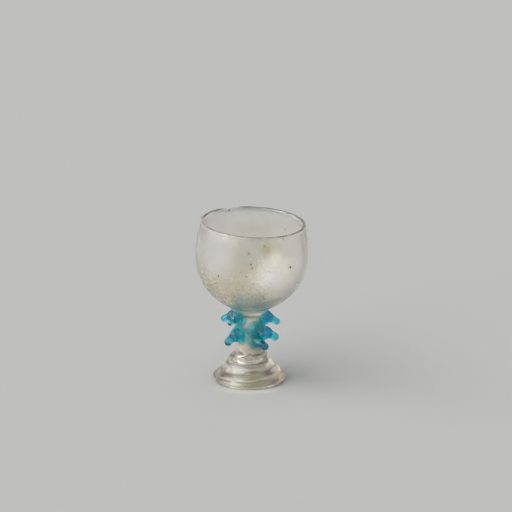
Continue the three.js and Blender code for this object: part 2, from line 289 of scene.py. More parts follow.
def glass_profile():
    """Radius and height of the closed section of stem and bowl, from the ceiling of the stem's bore,
    down the bore, round the stem's end, up the outside, over the rim's bead and down the inside of
    the bowl. The stem's end is half an oval, and its flare and the collar are powers of a share."""
    bead_angle = math.acos(RIM_WALL / 2 / RIM_BEAD_RADIUS)
    bead_height = BOWL_HEIGHT - RIM_BEAD_RADIUS
    mouth_height = bead_height - RIM_BEAD_RADIUS * math.sin(bead_angle)
    outside = bowl_curve(0, BOWL_RADIUS, BOWL_MOUTH_RADIUS, mouth_height)
    inside = bowl_curve(
        BOWL_BASE_WALL, BOWL_RADIUS - BOWL_WALL, BOWL_MOUTH_RADIUS - RIM_WALL, mouth_height)
    turn = np.linspace(-bead_angle, math.pi + bead_angle, 40)[1:-1]
    bead = np.stack([
        BOWL_MOUTH_RADIUS - RIM_WALL / 2 + RIM_BEAD_RADIUS * np.cos(turn),
        bead_height + RIM_BEAD_RADIUS * np.sin(turn),
    ], -1)
    lift = np.array([0, BOWL_SEAT])
    outside, inside, bead = outside + lift, inside + lift, bead + lift

    bore = STEM_RADIUS - STEM_WALL
    # The bore ends in a dome under the bowl
    turn = np.linspace(math.pi / 2, 0, 60)
    ceiling = np.stack([bore * np.cos(turn), mix(BORE_DOME_FOOT, BORE_DOME_TOP, np.sin(turn))], -1)
    lower = STEM_END + STEM_WALL / 2
    end_radius = (STEM_WALL + STEM_END_FLARE) / 2
    turn = np.linspace(math.pi, 2 * math.pi, 24)
    end = np.stack([
        bore + end_radius * (1 + np.cos(turn)),
        lower + STEM_WALL / 2 * np.sin(turn),
    ], -1)
    share = np.linspace(0, 1, 20)[1:]
    flare = np.stack([
        STEM_RADIUS + STEM_END_FLARE * (1 - share) ** 2,
        lower + STEM_END_FLARE_HEIGHT * share,
    ], -1)
    share = np.linspace(0, 1, 60)
    collar = np.stack([
        STEM_RADIUS + COLLAR_FLARE * share ** COLLAR_POWER,
        BOWL_SEAT - COLLAR_HEIGHT + (COLLAR_HEIGHT + BOWL_BASE_WALL) * share,
    ], -1)
    # The collar ends where it meets the bowl's outside
    flank = outside[:FLANK_POINTS]
    collar = collar[collar[:, 1] < np.interp(collar[:, 0], flank[:, 0], flank[:, 1])]
    outside = outside[outside[:, 0] > collar[-1, 0]]
    return [ceiling, end, flare, collar, outside, bead, inside[::-1]]


def along(points, spacing):
    """Points at an even spacing along a line of points."""
    steps = np.r_[0, np.cumsum(np.hypot(*np.diff(points, axis=0).T))]
    at = np.linspace(0, steps[-1], max(2, int(round(steps[-1] / spacing)) + 1))
    return np.stack([np.interp(at, steps, points[:, 0]), np.interp(at, steps, points[:, 1])], -1)


def rounded(points, reach):
    """A line of evenly spaced points with its corners rounded: each point becomes the mean of its
    neighbours under a bell curve, and the two ends stay."""
    half = len(reach) // 2
    before = 2 * points[0] - points[half:0:-1]
    after = 2 * points[-1] - points[-2:-half - 2:-1]
    padded = np.concatenate([before, points, after])
    return np.stack([np.convolve(padded[:, axis], reach, "valid") for axis in (0, 1)], -1)


def bell(spread, spacing):
    """Weights of a bell curve of that spread, which add up to 1."""
    half = int(math.ceil(3 * spread / spacing))
    at = np.arange(-half, half + 1) * spacing
    weights = np.exp(-(at / spread) ** 2 / 2)
    return weights / weights.sum()


def smooth_profile():
    """The section with rounded corners, and the join of stem and bowl filled in a wide fillet."""
    line = along(np.concatenate(glass_profile()), SECTION_SPACING)
    soft = rounded(line, bell(CORNER_SPREAD, SECTION_SPACING))
    wide = rounded(line, bell(FILLET_SPREAD, SECTION_SPACING))
    radius, height = line.T
    outer = (radius > STEM_RADIUS - STEM_WALL / 2) & (np.arange(len(line)) < np.argmax(height))
    far = np.hypot(height - FILLET_HEIGHT, radius - FILLET_RADIUS)
    near = np.where(outer, 1 - ease((far - FILLET_REACH) / FILLET_FADE), 0)
    line = mix(soft, wide, near[:, None])
    line[0, 0] = line[-1, 0] = 0
    # Rings lie close together on the rim and wider apart elsewhere
    radius, height = line.T
    below_rim = BOWL_SEAT + BOWL_HEIGHT - RIM_BEAD_RADIUS - height
    rim = np.exp(-(below_rim / RIM_RING_REACH) ** 2)
    step = np.hypot(*np.diff(line, axis=0).T)
    density = mix(1 / RING_SPACING, 1 / RIM_RING_SPACING, rim[1:]) * step
    run = np.r_[0, np.cumsum(density)]
    at = np.linspace(0, run[-1], int(run[-1]))
    return np.stack([np.interp(at, run, radius), np.interp(at, run, height)], -1)


def lean(points):
    """Turns points round the bowl's seat, first to the right and then towards the front."""
    x, y, z = np.moveaxis(points - SEAT, -1, 0)
    c, s = math.cos(BOWL_LEAN_RIGHT), math.sin(BOWL_LEAN_RIGHT)
    x, z = c * x + s * z, c * z - s * x
    c, s = math.cos(BOWL_LEAN_FORWARD), math.sin(BOWL_LEAN_FORWARD)
    y, z = c * y - s * z, s * y + c * z
    return np.stack([x - BOWL_SEAT_SHIFT, y, z + BOWL_SEAT], -1)


def upright(points):
    """Points of the leaning bowl, in the part's frame, turned back to where it would be upright."""
    axes = lean(np.eye(3) + SEAT) - lean(SEAT)
    return (points - [AXIS_X, AXIS_Y, 0] - lean(SEAT)) @ axes.T + SEAT


def leaned(points):
    """Points in the part's frame: upright in the stem, passing smoothly to the lean of the bowl."""
    leaning = ease((points[..., 2:] - LEAN_START) / LEAN_RISE)
    return mix(points, lean(points), leaning) + [AXIS_X, AXIS_Y, 0]


def bowl_and_stem_rings(sides):
    """The section turned round the axis. The bowl's part leans, the stem's stays upright, and the
    join passes smoothly from one to the other. Slow waves in the radius keep the wall hand-made."""
    profile = smooth_profile()[1:-1]
    radius, height = profile[:, 0, None], profile[:, 1, None]
    turn = np.linspace(0, 2 * math.pi, sides, endpoint=False)[None, :]
    up = height - BOWL_SEAT
    inner = np.arange(len(profile))[:, None] > np.argmax(profile[:, 1])
    wave = np.where(inner, waves(INNER_WALL_WAVES, turn, up), waves(OUTER_WALL_WAVES, turn, up))
    body = ease((radius - WAVE_START) / WAVE_GROWTH) * (1 - ease((up - WAVE_END) / WAVE_FADE))
    radius = radius * (1 - WALL_WAVE * np.maximum(0, 1 + wave) * body)
    chip = np.exp(-((turn - CHIP_TURN) / CHIP_HALF_TURN) ** 4)
    chip = chip * (1 + waves(CHIP_NICKS, turn))
    height = height - CHIP_DEPTH * chip * ease((up - BOWL_HEIGHT + CHIP_FOOT) / CHIP_RISE)
    points = np.stack(np.broadcast_arrays(radius * np.cos(turn), radius * np.sin(turn), height), -1)
    return leaned(points)


def crust_rings(sides):
    """A thin crust that lines the stem's bore: down it on the hollow side from the top of the dome,
    round an edge that wavers with the turn, and up again just inside the glass."""
    turn = np.linspace(0, 2 * math.pi, sides, endpoint=False)[None, :]
    edge = CRUST_EDGE + waves(CRUST_EDGE_WAVES, turn)
    rise = np.linspace(0, 1, 60)[:, None]
    tilt = np.linspace(0, math.pi / 2, 30)[1:-1, None]
    skins = []
    for reach in (-CRUST_DEPTH / 2, CRUST_DEPTH / 2):
        bore = STEM_RADIUS - STEM_WALL + reach
        radius = np.concatenate([np.full_like(rise, bore), bore * np.cos(tilt)]) + 0 * turn
        dome = mix(BORE_DOME_FOOT, BORE_DOME_TOP + reach, np.sin(tilt)) + 0 * turn
        height = np.concatenate([mix(edge, BORE_DOME_FOOT, rise), dome])
        skins.append(np.stack([radius * np.cos(turn), radius * np.sin(turn), height], -1))
    return leaned(np.concatenate([skins[0][::-1], skins[1]]))


def scattered(rng, marks):
    """Turns and heights of specks on the bowl. Each mark (x, y, z, spread, count) throws its count
    of specks round its own place, thinning out as a bell curve of that spread."""
    turns, heights = [], []
    for x, y, z, spread, count in marks:
        x, y, z = upright(np.array([x, y, z]))
        turns.append(math.atan2(y, x) + rng.normal(0, spread, count) / math.hypot(x, y))
        heights.append(z - BOWL_SEAT + rng.normal(0, spread * SPECK_SPREAD_UP, count))
    return np.concatenate(turns), np.concatenate(heights)


def placed(singles, lines):
    """Turns, heights and sizes of single specks (x, y, z, size) and of rows of specks, each row
    evenly spaced in a straight line between its two ends."""
    rows = [np.array(singles).reshape(-1, 4)]
    for start, end, count, size in lines:
        share = np.linspace(0, 1, count)[:, None]
        places = mix(np.array(start), np.array(end), share)
        rows.append(np.concatenate([places, np.full((count, 1), size)], 1))
    rows = np.concatenate(rows)
    x, y, z = upright(rows[:, :3]).T
    return np.arctan2(y, x), z - BOWL_SEAT, rows[:, 3]


def speck_points(rng, turns, heights, sizes):
    """Low uneven lumps on the bowl's outside. Each is a stack of rings round the wall's outward
    normal, whose radius wavers with the second and third wave of the turn, closed by a point at each
    end."""
    outside = bowl_curve(0, BOWL_RADIUS, BOWL_MOUTH_RADIUS, BOWL_HEIGHT - RIM_BEAD_RADIUS)
    radius = np.interp(heights, outside[:, 1], outside[:, 0])
    slope = np.interp(heights, outside[:, 1], np.gradient(outside[:, 0], outside[:, 1]))
    outward = np.stack([np.cos(turns), np.sin(turns), -slope], -1)
    outward /= np.linalg.norm(outward, axis=-1, keepdims=True)
    sideways = np.stack([-np.sin(turns), np.cos(turns), np.zeros_like(turns)], -1)
    upwards = np.cross(outward, sideways)
    middle = np.stack([radius * np.cos(turns), radius * np.sin(turns), heights + BOWL_SEAT], -1)
    angle = np.linspace(0, 2 * math.pi, SPECK_SIDES, endpoint=False)
    first, second = rng.uniform(0, 2 * math.pi, (2, len(turns), 1))
    wavering = 0.25 * np.sin(2 * angle + first) + 0.2 * np.sin(3 * angle + second)
    reach = sizes[:, None] * (1 + wavering)
    middle, outward = middle[:, None], SPECK_HEIGHT * outward[:, None]
    cosine, sine = np.cos(angle)[None, :, None], np.sin(angle)[None, :, None]
    across = reach[..., None] * (cosine * sideways[:, None] + sine * upwards[:, None])
    rings = [middle + share * across + lift * outward for share, lift in SPECK_RINGS]
    ends = [middle + lift * outward for lift in SPECK_ENDS]
    points = leaned(np.concatenate(rings + ends, axis=1))
    # None of them stands out of the CAD model's box
    return np.clip(points, np.array(cad_low) / MM + CLEAR, np.array(cad_high) / MM - CLEAR)


def speck_mesh(name, points):
    """One mesh of many lumps, each of the same rings and end points."""
    count, each = points.shape[:2]
    faces = skin_faces(len(SPECK_RINGS), SPECK_SIDES)
    faces = [[corner + each * lump for corner in face] for lump in range(count) for face in faces]
    mesh = bpy.data.meshes.new(name)
    mesh.from_pydata(points.reshape(-1, 3).tolist(), [], faces)
    mesh.shade_smooth()
    return mesh


# Foot


def thread_path(turn):
    """Distance from the stem's axis and height of the thread's middle. The height falls evenly and
    then settles on the ground, and the distance spreads with the square of the turns."""
    falling = mix(THREAD_TOP, THREAD_BASE, turn / THREAD_FALL_TURNS)
    height = mix(falling, THREAD_BASE, ease((turn - THREAD_SETTLE_START) / THREAD_SETTLE_TURNS))
    spread = np.clip(turn / THREAD_SPREAD_TURNS, 0, 1) ** 2
    away = mix(STEM_RADIUS + THREAD_START_GAP, FOOT_RADIUS - THREAD_THICKNESS / 2, spread)
    return np.stack([away, height], -1)


def lengthened(arms, length):
    """Arms in the same directions, all of one length; an arm of no length stays as it is."""
    return arms / np.maximum(np.linalg.norm(arms, axis=-1, keepdims=True), 1e-9) * length


def thread_rings(steps, sides):
    """Rings round the thread. Each reaches from its middle up to the turn above, down to the turn
    below, and half the thickness outwards and inwards, and is round where there is no turn on that
    side: point = middle + (up or down) * |cos| + out * sin. The first turn is drawn up along the
    stem."""
    turn = np.linspace(0, THREAD_TURNS, steps)
    middle = thread_path(turn)
    to_above, to_below = thread_path(turn - 1) - middle, thread_path(turn + 1) - middle
    above = ease((turn - 1) / THREAD_MEET_TURNS + 0.5)[:, None]
    below = ease((THREAD_TURNS - 1 - turn) / THREAD_MEET_TURNS + 0.5)[:, None]
    half = THREAD_THICKNESS / 2
    up = mix(lengthened(to_below, -THREAD_DRAWN_UP * half), to_above * THREAD_OVERLAP, above)
    down = mix(lengthened(to_above, -half), to_below * THREAD_OVERLAP, below)
    along_wall = down - up
    out = lengthened(np.stack([-along_wall[:, 1], along_wall[:, 0]], -1), half)
    tail = 1 - np.clip(turn / THREAD_TAIL_TURNS, 0, 1)
    end = 1 - np.clip((THREAD_TURNS - turn) / THREAD_END_TURNS, 0, 1)
    girth = mix(THREAD_START_GIRTH, 1, ease(turn / THREAD_START_TURNS))
    girth = girth * mix(THREAD_TIP_GIRTH, 1, np.sqrt((1 - tail ** 2) * (1 - end ** 2)))
    angle = np.linspace(0, 2 * math.pi, sides, endpoint=False)[None, :, None]
    arm = np.where(np.cos(angle) > 0, down[:, None], up[:, None]) * np.abs(np.cos(angle))
    section = middle[:, None] + (arm + out[:, None] * np.sin(angle)) * girth[:, None, None]
    away, height = section[..., 0], section[..., 1]
    # Its inner side follows the stem's wall
    hugging = ease((height - THREAD_HUG_HEIGHT) / THREAD_HUG_RISE)
    away = np.maximum(away, (STEM_RADIUS - WELD) * hugging)
    turned = -2 * math.pi * turn[:, None]
    x, y = AXIS_X + away * np.cos(turned), AXIS_Y + away * np.sin(turned)
    return np.stack([x, y, np.maximum(height, CLEAR)], -1)


def melted(mesh, grain, passes):
    """One smooth skin over a mesh that runs through itself: the mesh is cast anew in cells of the
    grain's size, and the grooves are softened as heat softens them."""
    source = new_object(mesh.name, mesh)
    cast = source.modifiers.new("cast", "REMESH")
    cast.mode = "VOXEL"
    cast.voxel_size = grain
    soften = source.modifiers.new("soften", "SMOOTH")
    soften.factor = 0.5
    soften.iterations = passes
    bpy.context.view_layer.update()
    graph = bpy.context.evaluated_depsgraph_get()
    made = bpy.data.meshes.new_from_object(source.evaluated_get(graph))
    name = mesh.name
    bpy.data.objects.remove(source)
    bpy.data.meshes.remove(mesh)
    made.name = name
    made.shade_smooth()
    return made


# Prunts


def prunt_rings(shares, steps, sides):
    """Rings along a drooping line: a base that follows the stem's round wall just inside it, a bead
    on a thin spread pad with a round edge, and a narrow round tip. The pad's edge is a quarter of an
    oval, the bead narrows as half a cosine wave, and the droop grows with the square of the
    distance."""
    turn, height, length, droop, bead, tip = shares
    tip_radius, bead_radius = PRUNT_TIP_RADIUS * tip, PRUNT_BEAD_RADIUS * bead
    length, droop = PRUNT_LENGTH * length, PRUNT_DROOP * droop
    sink = -WELD / length
    base, edge = PRUNT_BASE_SHARES, sink * PRUNT_EDGE_SHARES
    pad = PRUNT_PAD_HEIGHT / length
    body = np.r_[np.linspace(0, pad, steps), np.linspace(pad, 1, 2 * steps)[1:]]
    cap = np.linspace(0, math.pi / 2, steps)[1:-1]
    share = np.r_[np.full(len(base), sink), edge, body, np.ones(len(cap))][:, None]
    scale = np.r_[base, np.ones(len(edge) + len(body)), np.cos(cap)][:, None]
    beyond = np.r_[np.zeros(len(share) - len(cap)), tip_radius * np.sin(cap)][:, None]
    outside = np.maximum(share, 0)
    slope = np.arctan2(2 * droop * outside, length)
    drawn = ease((outside - PRUNT_NECK_START) / PRUNT_NECK_SHARE)
    radius = tip_radius + (bead_radius - tip_radius) * (1 - drawn)
    radius = (radius + PRUNT_MARGIN * np.sqrt(np.maximum(0, 1 - (outside / pad) ** 2))) * scale
    angle = np.linspace(0, 2 * math.pi, sides, endpoint=False)[None, :]
    side = -radius * np.sin(angle)
    up = radius * np.cos(angle)
    out = length * share + beyond * np.cos(slope) + up * np.sin(slope)
    rise = -droop * outside ** 2 - beyond * np.sin(slope) + up * np.cos(slope)
    sag = STEM_RADIUS - np.sqrt(STEM_RADIUS ** 2 - side ** 2)
    out = STEM_RADIUS + out - sag * (1 - ease(outside / PRUNT_HUG_SHARE))
    a = 2 * math.pi * turn - math.pi / 2
    x = AXIS_X + out * math.cos(a) - side * math.sin(a)
    y = AXIS_Y + out * math.sin(a) + side * math.cos(a)
    return np.stack([x, y, BOWL_SEAT * height + rise], -1)


# Materials


def linear(colour):
    """Linear red, green, blue and alpha of an sRGB hex colour."""
    parts = [int(colour[i:i + 2], 16) / 255 for i in (1, 3, 5)]
    return tuple(p / 12.92 if p <= 0.04045 else ((p + 0.055) / 1.055) ** 2.4 for p in parts) + (1.0,)


def add(tree, kind, inputs=None, **settings):
    """Adds a shader node of a kind, with its settings. Each input is given a value or is linked to
    another node's socket."""
    node = tree.nodes.new("ShaderNode" + kind)
    for name, value in settings.items():
        setattr(node, name, value)
    for name, value in (inputs or {}).items():
        if isinstance(value, bpy.types.NodeSocket):
            tree.links.new(value, node.inputs[name])
        else:
            node.inputs[name].default_value = value
    return node


def new_material(name):
    """An empty node material, its node tree and its output node."""
    material = bpy.data.materials.new(name)
    material.use_nodes = True
    tree = material.node_tree
    tree.nodes.clear()
    return material, tree, add(tree, "OutputMaterial")


def glass_shader(tree, output, clearness, density, colour):
    """A clear surface round a body that takes away colour over its depth. The density is per metre,
    and the colour is what the glass lets through the best. Less than full clearness is a pale dull
    skin."""
    shader = add(tree, "BsdfPrincipled", {"IOR": 1.5, "Transmission Weight": clearness})
    body = add(tree, "VolumeAbsorption", {"Color": linear(colour), "Density": density})
    tree.links.new(shader.outputs["BSDF"], output.inputs["Surface"])
    tree.links.new(body.outputs["Volume"], output.inputs["Volume"])
    return shader


def place_in_mm(tree):
    """Place in the part's frame, in millimetres, so that a pattern's scale is per millimetre."""
    place = add(tree, "TexCoord").outputs["Object"]
    return add(tree, "VectorMath", {0: place, "Scale": 1 / MM}, operation="SCALE").outputs[0]


def patches(tree, place, marks, edge):
    """1 in each round mark (x, y, z, radius), 0 outside all of them, with a soft edge of that share
    of the radius on each side."""
    found = 0.0
    for x, y, z, radius in marks:
        far = add(tree, "VectorMath", {0: place, 1: (x, y, z)}, operation="DISTANCE")
        mark = add(tree, "MapRange", {
            "Value": far.outputs["Value"],
            "From Min": radius * (1 + edge), "From Max": radius * (1 - edge),
        }, interpolation_type="SMOOTHSTEP").outputs[0]
        found = add(tree, "Math", {0: mark, 1: found}, operation="MAXIMUM").outputs[0]
    return found


def within(tree, value, band):
    """1 in the middle of a band, 0 outside it, and straight slopes between."""
    sets_in, full, fades, ends = band
    rising = add(tree, "MapRange", {"Value": value, "From Min": sets_in, "From Max": full}).outputs[0]
    falling = add(tree, "MapRange", {"Value": value, "From Min": ends, "From Max": fades}).outputs[0]
    return add(tree, "Math", {0: rising, 1: falling}, operation="MULTIPLY").outputs[0]


def clouds(tree, place, scale, detail, low, high, roughness=0.5):
    """Noise of that scale per millimetre: 0 where it is under low, 1 where it is over high."""
    noise = add(tree, "TexNoise", {
        "Vector": place, "Scale": scale, "Detail": detail, "Roughness": roughness}).outputs["Fac"]
    return add(tree, "MapRange", {
        "Value": noise, "From Min": low, "From Max": high}).outputs[0]


def seeds(tree, place, spacing):
    """1 in small round bubbles that lie about that many millimetres apart."""
    cell = add(tree, "TexVoronoi", {"Vector": place, "Scale": 1 / spacing})
    return add(tree, "MapRange", {
        "Value": cell.outputs["Distance"], "From Min": 0.13, "From Max": 0.07}).outputs[0]


def from_axis(tree, place):
    """The level offset from the stem's axis, and its length."""
    axis = (AXIS_X, AXIS_Y, 0)
    offset = add(tree, "VectorMath", {0: place, 1: axis}, operation="SUBTRACT").outputs[0]
    flat = add(tree, "VectorMath", {0: offset, 1: (1, 1, 0)}, operation="MULTIPLY").outputs[0]
    return flat, add(tree, "VectorMath", {0: flat}, operation="LENGTH").outputs["Value"]


def streaks(tree, place, across, round_axis):
    """Noise drawn out round the stem's axis: `across` changes per millimetre outwards and upwards,
    and `round_axis` changes on each side of the axis."""
    flat, away = from_axis(tree, place)
    away = add(tree, "Math", {0: away, 1: across}, operation="MULTIPLY").outputs[0]
    rise = add(tree, "SeparateXYZ", {0: place}).outputs["Z"]
    rise = add(tree, "Math", {0: rise, 1: across}, operation="MULTIPLY").outputs[0]
    turned = add(tree, "VectorMath", {0: flat}, operation="NORMALIZE").outputs[0]
    turned = add(tree, "VectorMath", {0: turned, "Scale": round_axis}, operation="SCALE")
    turned = add(tree, "SeparateXYZ", {0: turned.outputs[0]}).outputs
    unrolled = add(tree, "CombineXYZ", {"X": away, "Y": rise, "Z": turned["X"]}).outputs[0]
    return add(tree, "TexNoise", {
        "Vector": unrolled, "W": turned["Y"], "Scale": 1.0, "Detail": 3.0,
    }, noise_dimensions="4D").outputs["Fac"]


def tinted(tree, colour, tints):
    """A colour that passes to each mask's tint in turn."""
    for mask, tint in tints:
        colour = add(tree, "Mix", {
            "Factor": mask, 6: colour, 7: linear(tint)}, data_type="RGBA").outputs[2]
    return colour


# Marks on the bowl, as x, y, z and radius: yellowish stains in front
STAINS = [(4.41, -15.38, 44.13, 1.3), (4.0, -15.6, 42.6, 0.8), (-0.74, -16.03, 43.43, 0.7)]
# Fainter stains behind
FAINT_STAINS = [
    (-2.2, 15.4, 41.2, 1.4), (0.2, 15.4, 41.8, 1.6), (2.8, 15.2, 41.3, 1.6),
    (4.9, 14.8, 42.0, 1.3),
]
# Places where the rim's painted dark line is paler
PALE_RIM = [(-15.2, -2.5, 47.6, 6.0), (-6.0, 13.5, 47.8, 3.5)]
# Places painted lighter: painted highlights where the bowl shows a round glow and the left light's
# soft reflection
PAINTED_HIGHLIGHTS = [(5.9, -15.1, 35.0, 4.0), (-11.5, -11.5, 41.0, 6.0)]
# Grey-green haze
HAZE = [(-2.5, -16.1, 38.5, 9.0), (3.0, -15.0, 45.0, 5.0)]
# Wash of lime
LIME = [
    (-5.6, -14.66, 30.6, 6.5), (-12.4, -9.0, 32.4, 6.0), (1.5, -15.3, 31.2, 5.6),
    (-7.67, -9.53, 27.5, 4.0),
]

# Specks of dark soil on the bowl: x, y, z and size
SOIL = [
    (11.1, -12.03, 37.97, 0.36), (9.08, -12.7, 46.5, 0.23), (3.69, -15.37, 45.32, 0.2),
    (-0.16, -16.35, 40.06, 0.2), (0.18, -16.39, 38.94, 0.18), (-9.49, -13.18, 35.68, 0.25),
    (-10.23, -11.95, 33.2, 0.22), (-8.33, -14.11, 37.89, 0.13), (-1.42, -16.22, 36.37, 0.18),
    (-3.03, -16.09, 37.68, 0.15), (-0.74, -16.05, 43.32, 0.17), (0.47, -15.95, 34.25, 0.16),
    (-0.85, -14.65, 30.61, 0.16), (9.53, 11.69, 42.15, 0.22), (16.09, -2.0, 35.88, 0.27),
]

# Fine lines on the bowl, as rows of specks: the two ends, the count and the size
SOIL_LINES = [
    ((3.56, -16.0, 38.19), (5.28, -15.5, 37.65), 16, 0.065),
    ((5.28, -15.5, 37.65), (7.43, -14.58, 37.56), 18, 0.04),
    ((14.89, -6.55, 42.1), (14.9, -6.72, 41.3), 6, 0.065),
    ((14.9, -6.84, 40.5), (14.9, -6.76, 40.0), 4, 0.06),
    ((14.9, -6.8, 39.5), (14.9, -6.9, 39.1), 3, 0.05),
    ((8.86, -13.71, 41.85), (8.86, -13.71, 41.1), 5, 0.07),
    ((9.61, -13.2, 41.6), (9.61, -13.2, 40.85), 5, 0.06),
    ((10.3, -12.71, 41.4), (10.3, -12.71, 40.65), 5, 0.06),
]
LIME_LINES = [
    ((-8.9, -9.4, 28.1), (-7.5, -9.6, 26.9), 12, 0.14),
    ((-7.7, -10.2, 27.7), (-6.4, -9.4, 26.3), 12, 0.14),
    ((-6.8, -10.8, 27.6), (-5.5, -9.6, 26.1), 12, 0.14),
    ((-10.2, -9.0, 28.9), (-9.1, -8.6, 27.8), 10, 0.13),
    ((-7.4, -9.8, 27.4), (-6.2, -10.4, 27.2), 9, 0.12),
    ((-6.3, -9.9, 26.5), (-5.4, -10.2, 26.6), 8, 0.12),
]

# Places on the bowl round which specks of lime lie: x, y, z, spread and count
SPECKS = [
    (-5.6, -14.66, 31.5, 5.0, 150), (-10.5, -10.6, 32.4, 3.2, 90), (2.0, -15.3, 32.6, 4.0, 60),
    (-7.6, -10.4, 27.9, 1.7, 130), (4.5, -15.0, 39.5, 2.4, 40),
    (-13.0, 8.5, 34.0, 5.0, 40), (9.0, 13.0, 32.0, 5.0, 40), (13.5, -8.5, 31.0, 4.0, 30),
]

# Browner and more olive places in the foot's thread: x, y, z and radius
THREAD_BROWN = [(-9.8, -2.5, 2.0, 3.6), (6.0, -4.5, 3.6, 3.2), (8.0, -5.0, 1.5, 2.6)]
THREAD_OLIVE = [(0.6, -10.0, 1.0, 4.2)]

# The leaning bowl's own axis, and how far up along it the rim's top lies
BOWL_AXIS = lean(SEAT + [0, 0, 1]) - lean(SEAT)
RIM_HEIGHT = float(BOWL_AXIS @ (lean(SEAT + [0, 0, BOWL_HEIGHT]) + [AXIS_X, AXIS_Y, 0]))

# Bands, each from where it sets in to where it is full, and from where it fades to where it ends:
# heights of the join's painted shade and the duller fillet, and distances from the axis of the deep
# beads
JOIN_PAINTED_SHADE = (19.2, 20.2, 21.2, 22.0)
DULL_FILLET = (20.1, 20.9, 22.7, 23.5)
DEEP_BEAD = (5.0, 5.6, 6.4, 7.4)


def weathered_glass():
    """Blown soda glass after centuries in the ground: a faint clouded skin, stippled lime low on one
    side, a few yellowish stains, a dark line painted along the rim as painted shade, painted shade
    where the stem opens and on the back rim's inner side, and painted highlights where the bowl
    shows a soft glow and a reflection."""
    material, tree, output = new_material("weathered_blown_glass")
    shader = glass_shader(tree, output, 0.94, 18, "#c8bc70")
    place = place_in_mm(tree)
    cloud = clouds(tree, place, 0.22, 4.0, 0.35, 0.68)
    bloom = clouds(tree, place, 0.34, 3.0, 0.5, 0.62)
    stipple = clouds(tree, place, 1.1, 6.0, 0.3, 0.7, roughness=0.75)
    wash = patches(tree, place, LIME, 0.9)
    lime = add(tree, "Math", {0: wash, 1: stipple}, operation="MULTIPLY").outputs[0]
    # Under the lime the glass turns faintly pink in some places and yellow-green in others
    hues = add(tree, "TexNoise", {"Vector": place, "Scale": 0.36, "Detail": 4.0})
    hues = add(tree, "SeparateXYZ", {0: hues.outputs["Color"]}).outputs
    turned = []
    for hue in (hues["X"], hues["Y"]):
        hue = add(tree, "MapRange", {"Value": hue, "From Min": 0.47, "From Max": 0.6}).outputs[0]
        turned.append(add(tree, "Math", {0: wash, 1: hue}, operation="MULTIPLY").outputs[0])
    pink, green = turned
    # The stains' outlines wander by about a millimetre
    wander = add(tree, "TexNoise", {"Vector": place, "Scale": 0.7, "Detail": 3.0})
    wander = add(tree, "VectorMath", {
        0: wander.outputs["Color"], 1: (3.5, 3.5, 3.5), 2: place}, operation="MULTIPLY_ADD")
    wander = add(tree, "VectorMath", {
        0: wander.outputs[0], 1: (1.75, 1.75, 1.75)}, operation="SUBTRACT").outputs[0]
    stain = patches(tree, wander, STAINS, 0.9)
    faint = patches(tree, wander, FAINT_STAINS, 0.9)
    # Height up the leaning bowl from its seat, which the rim's dark line follows: painted shade
    # standing in for the darkness the bead shows by refraction
    up = add(tree, "VectorMath", {0: place, 1: tuple(BOWL_AXIS)}, operation="DOT_PRODUCT")
    up = up.outputs["Value"]
    rim = add(tree, "MapRange", {
        "Value": up, "From Min": RIM_HEIGHT - 0.42, "From Max": RIM_HEIGHT - 0.18}).outputs[0]
    uneven = add(tree, "TexNoise", {"Vector": place, "Scale": 0.5, "Detail": 3.0}).outputs["Fac"]
    uneven = add(tree, "MapRange", {
        "Value": uneven, "From Min": 0.34, "From Max": 0.58, "To Min": 0.35}).outputs[0]
    paler_rim_line = patches(tree, place, PALE_RIM, 0.4)
    paler_rim_line = add(tree, "Math", {0: paler_rim_line, 1: -0.75, 2: 1.0}, operation="MULTIPLY_ADD").outputs[0]
    for share in (uneven, paler_rim_line):
        rim = add(tree, "Math", {0: rim, 1: share}, operation="MULTIPLY").outputs[0]
    # Behind, the rim's inner side is painted a wider soft grey band: painted shade standing in for
    # how dark the back rim looks by refraction
    parts = add(tree, "SeparateXYZ", {0: place}).outputs
    depth = add(tree, "MapRange", {
        "Value": parts["Y"], "From Min": 6.0, "From Max": 12.0, "To Max": 0.6}).outputs[0]
    band = add(tree, "MapRange", {
        "Value": up, "From Min": RIM_HEIGHT - 1.6, "From Max": RIM_HEIGHT - 0.7}).outputs[0]
    band = add(tree, "Math", {0: band, 1: depth}, operation="MULTIPLY").outputs[0]
    # Painted highlights: the bowl's tints are lifted to white on a round glow and a soft reflection
    painted_highlight = patches(tree, place, PAINTED_HIGHLIGHTS, 0.6)
    haze = patches(tree, place, HAZE, 0.8)
    haze = add(tree, "Math", {0: haze, 1: 0.85}, operation="MULTIPLY").outputs[0]
    # Where the stem opens into the bowl the glass is painted greyer: painted shade under the bowl
    rise = parts["Z"]
    join = within(tree, rise, JOIN_PAINTED_SHADE)
    colour = tinted(tree, linear("#fffefb"), (
        (cloud, "#faf8f4"), (bloom, "#fbf6f6"), (haze, "#e5e5d8"), (pink, "#faece4"),
        (green, "#efedcf"), (lime, "#fbf4e2"), (painted_highlight, "#ffffff"), (stain, "#d6cfa2"),
        (faint, "#f6f3e6"), (join, "#c9ccc2"), (band, "#b9bfc1"), (rim, "#6e6455"),
    ))
    tree.links.new(colour, shader.inputs["Base Color"])
    # The fillet under the bowl is duller than the rest
    rough = 0.12
    for mask, more in ((cloud, 0.08), (lime, 0.2), (within(tree, rise, DULL_FILLET), 0.22)):
        rough = add(tree, "Math", {
            0: mask, 1: more, 2: rough}, operation="MULTIPLY_ADD").outputs[0]
    # The stem's wall is brighter again
    wall = add(tree, "MapRange", {
        "Value": rise, "From Min": 20.0, "From Max": 20.8, "To Min": 0.3}).outputs[0]
    rough = add(tree, "Math", {0: rough, 1: wall}, operation="MULTIPLY").outputs[0]
    tree.links.new(rough, shader.inputs["Roughness"])
    return material


